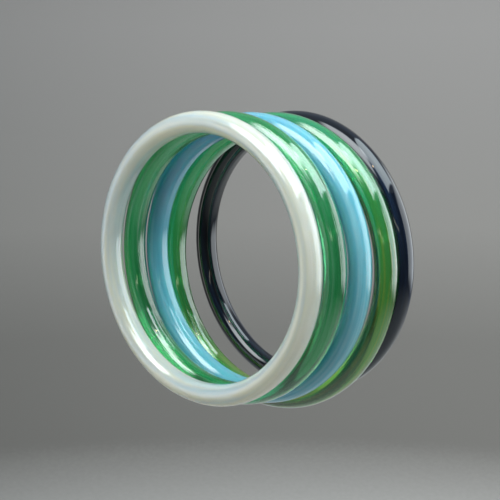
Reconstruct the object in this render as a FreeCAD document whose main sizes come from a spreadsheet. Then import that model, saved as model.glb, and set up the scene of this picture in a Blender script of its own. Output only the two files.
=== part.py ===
"""Set of five solid glass bangles, hanging side by side in a row.

Each bangle is one closed ring of glass: an oval section, a little wider than it is thick, with a
narrow cylindrical land on the inside, where the hot glass sat on the mandrel. The origin is the
centre of the front bangle's opening, +Y runs along the row from front to back and +Z is up.
Millimetres and degrees.
"""
import FreeCAD, Part
import os
import math
import Sketcher

SHEET = "Dimensions"

# Sizes that every bangle in the set shares.
SECTION = {
    "thickness": 5.8,      # radial, across the whole oval
    "width": 6.4,          # along the bangle's own axis
    "side_round": 2.2,     # radius of the two rounded sides
    "land_width": 1.6,     # flat cylindrical band on the inside
}

# What differs from bangle to bangle. bore is the radius of the inside land. right, along and up
# place its centre in the row. turn swings its back to the right, about the vertical, and lean
# tips its top towards the back of the row.
BANGLES = {
    "bangle_opal_white": {"bore": 32.3, "right": 0.0, "along": 0.0, "up": 0.0, "turn": 0.0, "lean": 0.0},
    "bangle_emerald_green": {"bore": 32.4, "right": 2.2, "along": 6.6, "up": -0.3, "turn": 0.1, "lean": 0.0},
    "bangle_sky_blue": {"bore": 32.45, "right": 4.5, "along": 13.3, "up": -0.7, "turn": -0.2, "lean": 0.1},
    "bangle_olive_green": {"bore": 33.6, "right": 6.0, "along": 20.3, "up": -2.0, "turn": -0.2, "lean": 1.2},
    "bangle_midnight_blue": {"bore": 32.25, "right": 7.2, "along": 28.9, "up": -0.4, "turn": 2.0, "lean": -1.3},
}

CLEARANCE = 0.12           # least gap between two neighbours as they hang


def fill_sheet(doc):
    """The driving dimensions, one named cell each."""
    sheet = doc.addObject("Spreadsheet::Sheet", SHEET)
    cells = dict(SECTION)
    for label, values in BANGLES.items():
        for key, value in values.items():
            cells[label + "_" + key] = value
    for row, (alias, value) in enumerate(cells.items(), start=1):
        sheet.set("A%d" % row, alias.replace("_", " "))
        sheet.set("B%d" % row, repr(value))
        sheet.setAlias("B%d" % row, alias)
    doc.recompute()
    return sheet


def cell(alias):
    return "%s.%s" % (SHEET, alias)


def plane(body, role):
    """One of the body's own origin planes or axes."""
    for feature in body.Origin.OriginFeatures:
        if feature.Role == role:
            return feature
    raise RuntimeError("no origin feature " + role)


def arc(centre_x, centre_y, radius, start, end):
    circle = Part.Circle(FreeCAD.Vector(centre_x, centre_y, 0), FreeCAD.Vector(0, 0, 1), radius)
    return Part.ArcOfCircle(circle, start, end)


def section_sketch(body, label):
    """The oval section: x is the distance from the bangle's axis, y is along that axis.

    Four tangent arcs make the oval, a crown outside and inside and a rounded side at each end.
    The land is a short flat across the inner crown, which parts that arc in two.
    """
    sketch = body.newObject("Sketcher::SketchObject", label + "_section")
    sketch.AttachmentSupport = [(plane(body, "XY_Plane"), "")]
    sketch.MapMode = "FlatFace"

    bore = BANGLES[label]["bore"]
    half_thick = SECTION["thickness"] / 2
    side = SECTION["side_round"]
    side_y = SECTION["width"] / 2 - side
    half_land = SECTION["land_width"] / 2
    crown = (half_thick ** 2 + side_y ** 2 - side ** 2) / (2 * (half_thick - side))
    inner_x = bore + math.sqrt(crown ** 2 - half_land ** 2)
    middle = inner_x - crown + half_thick
    crown_x = middle + half_thick - crown
    crown_turn = math.atan2(side_y, middle - crown_x)
    inner_turn = math.pi - crown_turn
    land_turn = math.pi - math.asin(half_land / crown)

    outer = sketch.addGeometry(arc(crown_x, 0, crown, -crown_turn, crown_turn))
    top_side = sketch.addGeometry(arc(middle, side_y, side, crown_turn, inner_turn))
    top_inner = sketch.addGeometry(arc(inner_x, 0, crown, inner_turn, land_turn))
    land = sketch.addGeometry(Part.LineSegment(FreeCAD.Vector(bore, half_land, 0),
                                               FreeCAD.Vector(bore, -half_land, 0)))
    low_inner = sketch.addGeometry(arc(inner_x, 0, crown, -land_turn, -inner_turn))
    low_side = sketch.addGeometry(arc(middle, -side_y, side, -inner_turn, -crown_turn))

    start, end, centre = 1, 2, 3
    origin, x_axis = -1, -1

    def tied(kind, *places):
        return sketch.addConstraint(Sketcher.Constraint(kind, *places))

    def sized(kind, *places, by):
        sketch.setExpression("Constraints[%d]" % tied(kind, *places), by)

    tied("Tangent", outer, end, top_side, start)
    tied("Tangent", top_side, end, top_inner, start)
    tied("Coincident", top_inner, end, land, start)
    tied("Coincident", land, end, low_inner, start)
    tied("Tangent", low_inner, end, low_side, start)
    tied("Tangent", low_side, end, outer, start)
    tied("Coincident", top_inner, centre, low_inner, centre)
    tied("PointOnObject", outer, centre, x_axis)
    tied("PointOnObject", top_inner, centre, x_axis)
    tied("Vertical", land)
    tied("Equal", outer, top_inner)
    tied("Equal", outer, low_inner)
    tied("Equal", top_side, low_side)

    sized("DistanceX", origin, 1, land, start, bore, by=cell(label + "_bore"))
    sized("DistanceY", land, end, land, start, 2 * half_land, by=cell("land_width"))
    sized("Radius", top_side, side, by=cell("side_round"))
    sized("DistanceY", origin, 1, top_side, centre, side_y,
          by="%s / 2 - %s" % (cell("width"), cell("side_round")))
    sized("Radius", outer, crown, by=crown_formula())
    return sketch


def crown_formula():
    """The crown arc's radius, from the shared sizes."""
    half_thick = "(%s / 2)" % cell("thickness")
    side = cell("side_round")
    side_y = "(%s / 2 - %s)" % (cell("width"), side)
    top = "%s ^ 2 + %s ^ 2 - %s ^ 2" % (half_thick, side_y, side)
    return "(%s) / (2 * (%s - %s))" % (top, half_thick, side)


def bangle(doc, label):
    """One solid glass ring, turned from its section about the bangle's own axis."""
    body = doc.addObject("PartDesign::Body", label)
    body.Label = label
    sketch = section_sketch(body, label)
    doc.recompute()
    ring = body.newObject("PartDesign::Revolution", label + "_ring")
    ring.Profile = sketch
    ring.ReferenceAxis = (sketch, ["V_Axis"])
    ring.Angle = 360
    place = [cell(label + "_" + key) for key in ("right", "along", "up", "turn", "lean")]
    body.setExpression("Placement", "placement(vector(%s; %s; %s); rotation(-%s; 0; -%s))" % tuple(place))
    doc.recompute()
    return body


def check(doc, bodies):
    for item in doc.Objects:
        if "Invalid" in item.State or "Error" in item.State:
            raise RuntimeError(item.Label + " failed: " + ", ".join(item.State))
        if item.TypeId == "Sketcher::SketchObject" and not item.FullyConstrained:
            raise RuntimeError(item.Label + " is not fully constrained")
    for body in bodies:
        if body.Shape.isNull() or not body.Shape.isValid() or len(body.Shape.Solids) != 1:
            raise RuntimeError(body.Label + " is not one sound solid")
    for front, back in zip(bodies, bodies[1:]):
        gap = front.Shape.distToShape(back.Shape)[0]
        print("%s to %s: %.2f mm apart" % (front.Label, back.Label, gap))
        if gap < CLEARANCE:
            raise RuntimeError(front.Label + " is too close to " + back.Label)


def main():
    doc = FreeCAD.newDocument("bangle_set")
    fill_sheet(doc)
    bodies = [bangle(doc, label) for label in BANGLES]
    for body in bodies:
        print(body.Label, "%.0f mm3" % body.Shape.Volume)
    check(doc, bodies)
    os.makedirs("parts", exist_ok=True)
    for body in bodies:
        body.Shape.exportStep("parts/%s.step" % body.Label)


main()
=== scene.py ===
"""Looks for the set of five glass bangles. Metres, in the CAD frame: +Y along the row, +Z up."""
import math
import bpy
import numpy as np
from mathutils import Matrix, Vector


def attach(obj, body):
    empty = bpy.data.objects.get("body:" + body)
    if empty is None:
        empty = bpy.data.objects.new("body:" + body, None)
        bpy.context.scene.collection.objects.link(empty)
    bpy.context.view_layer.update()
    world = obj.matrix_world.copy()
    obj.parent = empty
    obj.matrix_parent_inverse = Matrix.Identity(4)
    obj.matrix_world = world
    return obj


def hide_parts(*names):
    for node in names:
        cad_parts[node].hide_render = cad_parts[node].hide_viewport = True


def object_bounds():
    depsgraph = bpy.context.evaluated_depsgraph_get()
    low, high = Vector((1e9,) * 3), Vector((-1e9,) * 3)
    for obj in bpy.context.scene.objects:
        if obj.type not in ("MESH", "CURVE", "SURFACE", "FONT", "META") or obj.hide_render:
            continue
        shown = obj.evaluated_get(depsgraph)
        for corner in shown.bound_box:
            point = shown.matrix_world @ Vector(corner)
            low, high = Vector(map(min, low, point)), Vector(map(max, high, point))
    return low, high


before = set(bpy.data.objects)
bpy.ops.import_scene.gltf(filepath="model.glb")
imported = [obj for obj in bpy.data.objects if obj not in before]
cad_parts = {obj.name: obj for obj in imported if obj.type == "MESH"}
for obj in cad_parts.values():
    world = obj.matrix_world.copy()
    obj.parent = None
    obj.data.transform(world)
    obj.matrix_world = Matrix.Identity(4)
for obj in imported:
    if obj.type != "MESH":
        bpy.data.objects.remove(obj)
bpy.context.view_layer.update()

MM = 0.001

# How finely each ring is meshed, and the two section sizes that its box doesn't give.
STEPS_ROUND = 540
STEPS_SECTION = 84
SIDE_ROUND = 2.2 * MM      # radius of the two rounded sides
LAND_HALF = 0.8 * MM       # half the width of the flat band inside the bore

# Unevenness of a ring. UNDERSIZE and SWELL are shares of its section.
UNDERSIZE = 0.010
SWELL = 0.004
SWELL_COUNTS = (2, 3, 5, 7, 11)
SWAY = 0.03 * MM

# Surface marks: draw lines in cycles per millimetre, and the ripple in cycles per metre.
STREAK_STRETCH = 0.02      # 0 would draw every streak right round the ring, unchanged
LINES = 1.4
RIDGES = 0.45
THREADS = 3.0
RIPPLE = 90.0
RIDGE_SHARE = 4.0          # heights, beside that of the lines
RIPPLE_SHARE = 2.0

GLASS_IOR = 1.5
STRONG_COAT_IOR = 1.8
COAT_ROUGHNESS = 0.01

# Camera: where it stands, its heading left of +Y, its downward tilt and its lens, for a 36 mm sensor.
CAMERA_PLACE = (0.2190, -0.2277, 0.0467)
CAMERA_AZIMUTH = 41.74
CAMERA_DOWN = 7.97
CAMERA_LENS = 89.8

FLOOR_DROP = 0.24          # from the lowest bangle down to the floor
STAGE_RADIUS = 0.36        # flat part of the floor
COVE_RADIUS = 0.75         # its edge curves up into the backdrop
COVE_STEPS = 24
STAGE_HEIGHT = 1.2
STAGE_STEPS = 96
PAINTED_LIGHT_TOP = 0.35            # height at which the painted brightening up the backdrop ends

# Soft lights: bearing from the set in degrees, azimuth from +Y towards +X, then distance and size.
# radiance is the brightness of the face, and edges are the shares of it that fade, across and up.
SOFT_LIGHTS = {
    "overhead_box": {"azimuth": 82, "elevation": 63, "distance": 0.50, "size": (0.74, 0.36),
                     "radiance": 2.1, "colour": (0.82, 0.95, 1.0), "edges": (0.10, 0.06), "spread": 120},
    "front_left_box": {"azimuth": 184, "elevation": 54, "distance": 0.50, "size": (0.42, 0.40),
                       "radiance": 2.5, "colour": (0.92, 0.98, 1.0), "edges": (0.2, 0.15), "spread": 120},
    "back_right_panel": {"azimuth": 42, "elevation": 10, "distance": 0.55, "size": (0.84, 0.70),
                         "radiance": 2.15, "colour": (0.90, 0.97, 1.0), "edges": (0.05, 0.22)},
    "left_fill": {"azimuth": 222, "elevation": 0, "distance": 0.50, "size": (0.50, 0.50),
                  "radiance": 1.1, "colour": (1.0, 0.99, 0.96), "edges": (0.3, 0.3)},
    "window_strip": {"azimuth": 145, "elevation": 12, "distance": 0.60, "size": (0.36, 0.035),
                     "radiance": 1.6, "colour": (1.0, 0.96, 0.72), "edges": (0.2, 0.3)},
    "lamp_spark": {"azimuth": 146, "elevation": 50, "distance": 0.55, "size": (0.016, 0.016),
                   "radiance": 60.0, "colour": (1.0, 0.72, 0.42), "edges": (0.2, 0.2)},
}

# The light that brightens the backdrop: its size, its power, and the bearing (azimuth, elevation)
# and distance of the place it hangs at and of the place it points at.
BACKDROP_SIZE = (0.5, 0.3)
BACKDROP_ENERGY = 9.0
BACKDROP_FROM = (-20, 62, 0.6)
BACKDROP_TO = (-16, 12, 1.1)

WORLD_COLOUR = (0.84, 0.94, 1.0, 1)
WORLD_STRENGTH = 0.3


# ---------------------------------------------------------------- small node helpers

def new_material(name):
    material = bpy.data.materials.new(name)
    material.use_nodes = True
    tree = material.node_tree
    return material, tree, tree.nodes["Principled BSDF"]


def node(tree, kind, settings=None, **inputs):
    """Adds a node. inputs are values or sockets, by the input's name, or by its number as i0, i1."""
    made = tree.nodes.new(kind)
    for key, value in (settings or {}).items():
        setattr(made, key, value)
    for key, value in inputs.items():
        socket = made.inputs[int(key[1:])] if key[0] == "i" and key[1:].isdigit() else made.inputs[key]
        if isinstance(value, bpy.types.NodeSocket):
            tree.links.new(value, socket)
        else:
            socket.default_value = value
    return made


def math_node(tree, operation, first, second=0.0):
    return node(tree, "ShaderNodeMath", {"operation": operation}, i0=first, i1=second).outputs[0]


def add(tree, first, second):
    return math_node(tree, "ADD", first, second)


def subtract(tree, first, second):
    return math_node(tree, "SUBTRACT", first, second)


def times(tree, first, second):
    return math_node(tree, "MULTIPLY", first, second)


def remap(tree, value, start, end, low=0.0, high=1.0, smooth=False):
    """Maps start..end to low..high, clamped, along a straight or an S-shaped line."""
    kind = {"interpolation_type": "SMOOTHSTEP"} if smooth else None
    return node(tree, "ShaderNodeMapRange", kind, Value=value, i1=start, i2=end, i3=low, i4=high).outputs[0]


def noise(tree, place, scale, detail):
    return node(tree, "ShaderNodeTexNoise", Vector=place, Scale=scale, Detail=detail).outputs["Fac"]


def ramp(tree, factor, stops):
    made = node(tree, "ShaderNodeValToRGB", Fac=factor)
    elements = made.color_ramp.elements
    elements[0].position, elements[0].color = stops[0]
    elements[1].position, elements[1].color = stops[-1]
    for position, colour in stops[1:-1]:
        elements.new(position).color = colour
    return made.outputs["Color"]


# ---------------------------------------------------------------- the rings

def ring_frame(name):
    """Centre, rotation, inner and outer radius and half width of a CAD ring, from its triangles."""
    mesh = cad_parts[name].data
    mesh.calc_loop_triangles()
    points = np.empty(len(mesh.vertices) * 3)
    mesh.vertices.foreach_get("co", points)
    points = points.reshape(-1, 3)
    corners = np.empty(len(mesh.loop_triangles) * 3, dtype=int)
    mesh.loop_triangles.foreach_get("vertices", corners)
    triangles = points[corners.reshape(-1, 3)]
    sides = triangles[:, 1:] - triangles[:, :1]
    areas = np.linalg.norm(np.cross(sides[:, 0], sides[:, 1]), axis=1)
    middles = triangles.mean(axis=1)
    centre = (middles * areas[:, None]).sum(axis=0) / areas.sum()
    spread = (middles - centre) * np.sqrt(areas)[:, None]
    axis = np.linalg.eigh(spread.T @ spread)[1][:, 0]
    axis = axis * math.copysign(1, axis[1])
    across = np.cross(axis, (0, 0, 1))
    across /= np.linalg.norm(across)
    rotation = np.stack([across, axis, np.cross(across, axis)], axis=1)
    local = (points - centre) @ rotation
    distance = np.hypot(local[:, 0], local[:, 2])
    return centre, rotation, distance.min(), distance.max(), np.abs(local[:, 1]).max()


def crown_radius(half_thick, side_y):
    """Radius of the crown arcs that run tangent into the rounded sides."""
    return (half_thick ** 2 + side_y ** 2 - SIDE_ROUND ** 2) / (2 * (half_thick - SIDE_ROUND))


def oval(half_thick, half_wide):
    """The ring's section as (out, along) pairs, starting at the outer crown.

    Two arcs make each quarter, as in the CAD section, with points evenly spread along them.
    """
    side_y = half_wide - SIDE_ROUND
    crown = crown_radius(half_thick, side_y)
    turn = math.atan2(side_y, crown - half_thick)
    crown_length = crown * turn
    side_length = SIDE_ROUND * (math.pi / 2 - turn)
    quarter = STEPS_SECTION // 4
    points = []
    for step in range(STEPS_SECTION):
        part, place = divmod(step, quarter)
        run = place / quarter if part % 2 == 0 else 1 - place / quarter
        run *= crown_length + side_length
        if run <= crown_length:
            angle = run / crown
            out = half_thick - crown + crown * math.cos(angle)
            along = crown * math.sin(angle)
        else:
            angle = turn + (run - crown_length) / SIDE_ROUND
            out = SIDE_ROUND * math.cos(angle)
            along = side_y + SIDE_ROUND * math.sin(angle)
        points.append((out if part in (0, 3) else -out, along if part < 2 else -along))
    return points


def full_half_thickness(thickness, side_y):
    """Half the oval's thickness before the land cuts a little off its inner crown."""
    half_thick = thickness / 2
    for _ in range(4):                     # settles in four rounds
        crown = crown_radius(half_thick, side_y)
        rise = crown - math.sqrt(crown ** 2 - LAND_HALF ** 2)
        half_thick = (thickness + rise) / 2
    return half_thick


def glass_ring(name, seed):
    """A smooth closed ring over the CAD one, with the faint unevenness of hand-drawn glass.

    The ring's lean is in its points, so the object itself is only moved. Returns the object, and
    what its material needs: the radius of the section's middle and the turn that undoes the lean.
    """
    centre, rotation, inner, outer, half_wide = ring_frame(name)
    half_thick = full_half_thickness(outer - inner, half_wide - SIDE_ROUND)
    middle = outer - half_thick
    section = oval(half_thick, half_wide)
    rng = np.random.default_rng(seed)
    waves = [(count, rng.uniform(0, 2 * math.pi), 1 / count) for count in SWELL_COUNTS]

    points = []
    for step in range(STEPS_ROUND):
        angle = 2 * math.pi * step / STEPS_ROUND
        swell = sum(size * math.sin(count * angle + phase) for count, phase, size in waves)
        scale = 1 - UNDERSIZE + SWELL * swell
        sway = SWAY * math.sin(angle * 2 + waves[0][1])
        for out, along in section:
            distance = max(middle + out * scale, inner)
            points.append((distance * math.cos(angle), along * scale + sway, distance * math.sin(angle)))
    faces = []
    for step in range(STEPS_ROUND):
        after = (step + 1) % STEPS_ROUND
        for place in range(STEPS_SECTION):
            beside = (place + 1) % STEPS_SECTION
            faces.append((step * STEPS_SECTION + place, step * STEPS_SECTION + beside,
                          after * STEPS_SECTION + beside, after * STEPS_SECTION + place))
    mesh = bpy.data.meshes.new(name + "_glass")
    mesh.from_pydata((np.array(points) @ rotation.T).tolist(), [], faces)
    mesh.validate()
    mesh.update()
    mesh.polygons.foreach_set("use_smooth", [True] * len(mesh.polygons))
    piece = bpy.data.objects.new(name + "_glass", mesh)
    bpy.context.scene.collection.objects.link(piece)
    piece.matrix_world = Matrix.Translation(Vector(centre))
    upright = Matrix(rotation.T.tolist()).to_euler()
    return piece, (middle, tuple(upright))


# ---------------------------------------------------------------- glass

def drawn_coordinates(tree, shape):
    """The place with the ring's lean undone, and the same drawn out along the ring, for streaks."""
    middle, upright = shape
    place = node(tree, "ShaderNodeTexCoord").outputs["Object"]
    place = node(tree, "ShaderNodeMapping", Vector=place, Rotation=upright).outputs[0]
    x, y, z = node(tree, "ShaderNodeSeparateXYZ", Vector=place).outputs
    distance = math_node(tree, "SQRT", add(tree, times(tree, x, x), times(tree, z, z)))
    out = subtract(tree, distance, middle)
    across = add(tree, out, times(tree, x, STREAK_STRETCH))
    along = add(tree, y, times(tree, z, STREAK_STRETCH))
    third = times(tree, subtract(tree, x, z), STREAK_STRETCH)
    drawn = node(tree, "ShaderNodeCombineXYZ", X=across, Y=along, Z=third).outputs[0]
    return place, drawn


def streaks(tree, drawn, per_mm, detail=3.0):
    return noise(tree, drawn, per_mm / MM, detail)


def surface_relief(tree, shader, place, drawn, depth, threads=0.0):
    """Broad ridges, draw lines and finer threads, and a gentle fire-polished ripple."""
    lines = streaks(tree, drawn, LINES, detail=4.0)
    ridges = times(tree, streaks(tree, drawn, RIDGES, detail=1.0), RIDGE_SHARE)
    ripple = times(tree, noise(tree, place, RIPPLE, detail=1.0), RIPPLE_SHARE)
    fine = times(tree, streaks(tree, drawn, THREADS, detail=1.0), threads)
    height = add(tree, add(tree, add(tree, lines, ridges), ripple), fine)
    bump = node(tree, "ShaderNodeBump", Strength=1.0, Distance=depth, Height=height).outputs[0]
    tree.links.new(bump, shader.inputs["Normal"])
    tree.links.new(bump, shader.inputs["Coat Normal"])
    return lines


def gloss(shader, coat, coat_ior=STRONG_COAT_IOR):
    shader.inputs["IOR"].default_value = GLASS_IOR
    shader.inputs["Coat Weight"].default_value = coat
    shader.inputs["Coat IOR"].default_value = coat_ior
    shader.inputs["Coat Roughness"].default_value = COAT_ROUGHNESS


def roughness(tree, shader, lines, low, high):
    """Roughness that follows the draw lines."""
    tree.links.new(remap(tree, lines, 0.0, 1.0, low, high), shader.inputs["Roughness"])


def soak(shader, radius, scale):
    """Light that soaks into the whole body, by different depths for red, green and blue."""
    shader.inputs["Subsurface Weight"].default_value = 1.0
    shader.inputs["Subsurface Radius"].default_value = radius
    shader.inputs["Subsurface Scale"].default_value = scale


def opal_white(shape):
    """Milk glass with pale blue, green and cream bands."""
    material, tree, shader = new_material("opal_white_glass")
    place, drawn = drawn_coordinates(tree, shape)
    bands = times(tree, streaks(tree, drawn, per_mm=0.5), 0.6)
    cloud = times(tree, noise(tree, place, scale=28.0, detail=2.0), 0.4)
    colour = ramp(tree, add(tree, bands, cloud), [
        (0.38, (0.44, 0.53, 0.56, 1)), (0.47, (0.53, 0.57, 0.55, 1)),
        (0.55, (0.59, 0.60, 0.51, 1)), (0.64, (0.66, 0.66, 0.60, 1))])
    tree.links.new(colour, shader.inputs["Base Color"])
    soak(shader, radius=(1.0, 0.85, 0.7), scale=12.0 * MM)
    lines = surface_relief(tree, shader, place, drawn, depth=0.010 * MM)
    roughness(tree, shader, lines, low=0.03, high=0.10)
    gloss(shader, coat=0.7)
    return material


def clear_glass(name, shape, tint, density, shift, colours):
    """Glass that darkens with depth, with paler and darker drawn streaks and a slight haze at its top. The
    palest streaks are also painted reflections: thin pale lines that stand in for light reflected inside
    the glass.

    shift moves the streaks' colours along the ramp, towards the lower right and the back edge. The move at
    the back edge is a painted glow: a paler yellow-green line that stands in for light coming through the
    edge.
    """
    material, tree, shader = new_material(name)
    place, drawn = drawn_coordinates(tree, shape)
    x, y, z = node(tree, "ShaderNodeSeparateXYZ", Vector=place).outputs
    low_right = subtract(tree, times(tree, x, 0.4), z)
    # Painted glow: a paler line along the back edge, standing in for light let through the glass edge.
    painted_edge_glow = remap(tree, y, start=1.7 * MM, end=2.6 * MM, high=0.05)
    turned = times(tree, add(tree, low_right, painted_edge_glow), shift)
    # The streaks are the glass's own drawn lines, and their palest ones are also painted reflections of
    # light inside the glass.
    mixed = add(tree, streaks(tree, drawn, per_mm=1.2, detail=4.0), turned)
    tree.links.new(ramp(tree, mixed, colours), shader.inputs["Base Color"])
    uneven_height = add(tree, z, times(tree, streaks(tree, drawn, per_mm=0.4), 0.02))
    clearness = remap(tree, uneven_height, start=0.01, end=0.05, low=1.0, high=0.78, smooth=True)
    tree.links.new(clearness, shader.inputs["Transmission Weight"])
    lines = surface_relief(tree, shader, place, drawn, depth=0.05 * MM, threads=0.9)
    roughness(tree, shader, lines, low=0.0, high=0.03)
    gloss(shader, coat=1.0)
    depth = node(tree, "ShaderNodeVolumeAbsorption")
    depth.inputs["Color"].default_value = tint
    depth.inputs["Density"].default_value = density
    tree.links.new(depth.outputs[0], tree.nodes["Material Output"].inputs["Volume"])
    return material


def emerald_green(shape):
    """Bottle green throughout."""
    colours = [(0.38, (0.03, 0.70, 0.20, 1)), (0.5, (0.08, 0.84, 0.31, 1)), (0.62, (0.36, 0.95, 0.60, 1))]
    return clear_glass("emerald_green_glass", shape, tint=(0.05, 0.62, 0.30, 1), density=118.0, shift=0.0,
                       colours=colours)


def olive_green(shape):
    """Green that turns to amber at the lower right."""
    colours = [(0.30, (0.07, 0.86, 0.42, 1)), (0.52, (0.06, 0.80, 0.24, 1)),
               (0.64, (0.30, 0.90, 0.22, 1)), (0.76, (0.86, 0.94, 0.20, 1))]
    return clear_glass("olive_green_glass", shape, tint=(0.10, 0.64, 0.10, 1), density=128.0, shift=5.0,
                       colours=colours)


def sky_blue(shape):
    """Turquoise opal glass with a periwinkle patch at its upper left."""
    material, tree, shader = new_material("sky_blue_glass")
    place, drawn = drawn_coordinates(tree, shape)
    body = ramp(tree, streaks(tree, drawn, per_mm=0.55), [
        (0.32, (0.125, 0.40, 0.48, 1)), (0.52, (0.150, 0.44, 0.53, 1)), (0.68, (0.26, 0.53, 0.60, 1))])
    x, _, z = node(tree, "ShaderNodeSeparateXYZ", Vector=place).outputs
    upper_left = times(tree, subtract(tree, z, x), 5.0)
    cloud = noise(tree, place, scale=60.0, detail=2.0)
    patch = remap(tree, add(tree, cloud, upper_left), start=0.55, end=0.85, high=0.45, smooth=True)
    mixed = node(tree, "ShaderNodeMix", {"data_type": "RGBA"}, Factor=patch, i6=body,
                 i7=(0.16, 0.34, 0.52, 1))
    tree.links.new(mixed.outputs[2], shader.inputs["Base Color"])
    soak(shader, radius=(0.5, 0.9, 1.0), scale=9.0 * MM)
    lines = surface_relief(tree, shader, place, drawn, depth=0.010 * MM)
    roughness(tree, shader, lines, low=0.03, high=0.10)
    gloss(shader, coat=0.6)
    return material


def midnight_blue(shape):
    """Near-black navy glass."""
    material, tree, shader = new_material("midnight_blue_glass")
    place, drawn = drawn_coordinates(tree, shape)
    colour = ramp(tree, streaks(tree, drawn, per_mm=0.6), [
        (0.35, (0.001, 0.0015, 0.003, 1)), (0.55, (0.005, 0.009, 0.020, 1)),
        (0.70, (0.012, 0.026, 0.060, 1))])
    tree.links.new(colour, shader.inputs["Base Color"])
    lines = surface_relief(tree, shader, place, drawn, depth=0.012 * MM)
    roughness(tree, shader, lines, low=0.02, high=0.06)
    gloss(shader, coat=0.6, coat_ior=GLASS_IOR)
    return material


FINISHES = {
    "bangle_opal_white": opal_white,
    "bangle_emerald_green": emerald_green,
    "bangle_sky_blue": sky_blue,
    "bangle_olive_green": olive_green,
    "bangle_midnight_blue": midnight_blue,
}

for seed, (name, finish) in enumerate(FINISHES.items(), start=1):
    ring, shape = glass_ring(name, seed)
    ring.data.materials.append(finish(shape))
    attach(ring, name)
    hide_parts(name)


# ---------------------------------------------------------------- stage, light and camera

low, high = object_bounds()
SET_CENTRE = (Vector(low) + Vector(high)) / 2
FLOOR_Z = low[2] - FLOOR_DROP


def stage_paper():
    """Matt paper, pale on the floor and mid grey up the backdrop, with a faint fibre. The grey is painted
    lighter towards the top, painted light that stands in for light falling off down the backdrop.
    """
    material, tree, shader = new_material("stage_paper")
    place = node(tree, "ShaderNodeTexCoord").outputs["Object"]
    fibre = times(tree, noise(tree, place, scale=300.0, detail=4.0), 0.01)
    height = node(tree, "ShaderNodeSeparateXYZ", Vector=place).outputs["Z"]
    fibre_and_painted_light = add(tree, fibre, remap(tree, height, FLOOR_Z, PAINTED_LIGHT_TOP))
    # Painted light: above the pale floor, the backdrop's grey rises from 0.115 to 0.22 with height.
    colour = ramp(tree, fibre_and_painted_light, [
        (0.0, (0.38, 0.38, 0.37, 1)), (0.08, (0.115, 0.113, 0.106, 1)), (0.17, (0.125, 0.124, 0.117, 1)),
        (0.3, (0.185, 0.184, 0.176, 1)), (0.45, (0.20, 0.20, 0.195, 1)), (0.6, (0.22, 0.22, 0.217, 1))])
    tree.links.new(colour, shader.inputs["Base Color"])
    shader.inputs["Roughness"].default_value = 0.9
    return material


def stage():
    """A round pale floor whose rim sweeps up into a plain backdrop all the way round."""
    profile = [(STAGE_RADIUS, 0.0)]
    for step in range(1, COVE_STEPS + 1):
        angle = math.pi / 2 * step / COVE_STEPS
        profile.append((STAGE_RADIUS + COVE_RADIUS * math.sin(angle), COVE_RADIUS * (1 - math.cos(angle))))
    profile.append((STAGE_RADIUS + COVE_RADIUS, STAGE_HEIGHT))
    points = [(SET_CENTRE.x, SET_CENTRE.y, FLOOR_Z)]
    for radius, rise in profile:
        for step in range(STAGE_STEPS):
            angle = 2 * math.pi * step / STAGE_STEPS
            points.append((SET_CENTRE.x + radius * math.cos(angle), SET_CENTRE.y + radius * math.sin(angle),
                           FLOOR_Z + rise))
    faces = [(0, 1 + step, 1 + (step + 1) % STAGE_STEPS) for step in range(STAGE_STEPS)]
    for row in range(len(profile) - 1):
        base = 1 + row * STAGE_STEPS
        for step in range(STAGE_STEPS):
            after = (step + 1) % STAGE_STEPS
            faces.append((base + step, base + STAGE_STEPS + step, base + STAGE_STEPS + after, base + after))
    mesh = bpy.data.meshes.new("stage")
    mesh.from_pydata(points, [], faces)
    mesh.polygons.foreach_set("use_smooth", [True] * len(mesh.polygons))
    mesh.materials.append(stage_paper())
    floor = bpy.data.objects.new("stage", mesh)
    bpy.context.scene.collection.objects.link(floor)


def bearing(azimuth, elevation, distance):
    """A place seen from the set's centre. Azimuth is from +Y towards +X."""
    azimuth, elevation = math.radians(azimuth), math.radians(elevation)
    away = Vector((math.sin(azimuth) * math.cos(elevation), math.cos(azimuth) * math.cos(elevation),
                   math.sin(elevation)))
    return SET_CENTRE + away * distance


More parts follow.
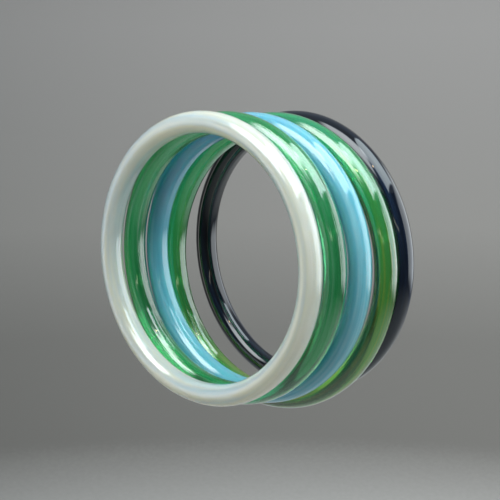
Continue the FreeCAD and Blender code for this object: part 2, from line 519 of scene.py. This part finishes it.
def hang_light(name, size, place, target):
    """A rectangular area light at place that faces target, and isn't seen itself."""
    data = bpy.data.lights.new(name, "AREA")
    data.shape = "RECTANGLE"
    data.size, data.size_y = size
    lamp = bpy.data.objects.new(name, data)
    bpy.context.scene.collection.objects.link(lamp)
    facing = (place - target).to_track_quat("Z", "Y")
    lamp.matrix_world = Matrix.Translation(place) @ facing.to_matrix().to_4x4()
    lamp.visible_camera = False
    return data


def fade_edges(tree, edges):
    """Dims a light's face towards its rim."""
    place = node(tree, "ShaderNodeNewGeometry").outputs["Parametric"]
    sides = node(tree, "ShaderNodeSeparateXYZ", Vector=place).outputs[:2]
    fades = []
    for side, edge in zip(sides, edges):
        from_middle = math_node(tree, "ABSOLUTE", subtract(tree, side, 0.5))
        fades.append(remap(tree, subtract(tree, 0.5, from_middle), 0.0, edge, smooth=True))
    tree.links.new(times(tree, *fades), tree.nodes["Emission"].inputs["Strength"])


def soft_light(name, azimuth, elevation, distance, size, radiance, colour, edges, spread=180):
    data = hang_light(name, size, bearing(azimuth, elevation, distance), SET_CENTRE)
    data.energy = radiance * math.pi * size[0] * size[1]
    data.color = colour
    data.spread = math.radians(spread)
    data.use_nodes = True
    fade_edges(data.node_tree, edges)


def lights():
    for name, settings in SOFT_LIGHTS.items():
        soft_light(name, **settings)
    backdrop = hang_light("backdrop_light", BACKDROP_SIZE, bearing(*BACKDROP_FROM), bearing(*BACKDROP_TO))
    backdrop.energy = BACKDROP_ENERGY
    world = bpy.data.worlds.new("studio")
    world.use_nodes = True
    background = world.node_tree.nodes["Background"]
    background.inputs["Color"].default_value = WORLD_COLOUR
    background.inputs["Strength"].default_value = WORLD_STRENGTH
    bpy.context.scene.world = world


def camera():
    data = bpy.data.cameras.new("camera")
    data.lens = CAMERA_LENS
    data.clip_start, data.clip_end = 0.01, 10
    made = bpy.data.objects.new("camera", data)
    bpy.context.scene.collection.objects.link(made)
    made.location = CAMERA_PLACE
    made.rotation_euler = (math.radians(90 - CAMERA_DOWN), 0, math.radians(CAMERA_AZIMUTH))
    bpy.context.scene.camera = made


stage()
lights()
camera()
# The default transform greys out saturated glass.
bpy.context.scene.view_settings.view_transform = "Standard"
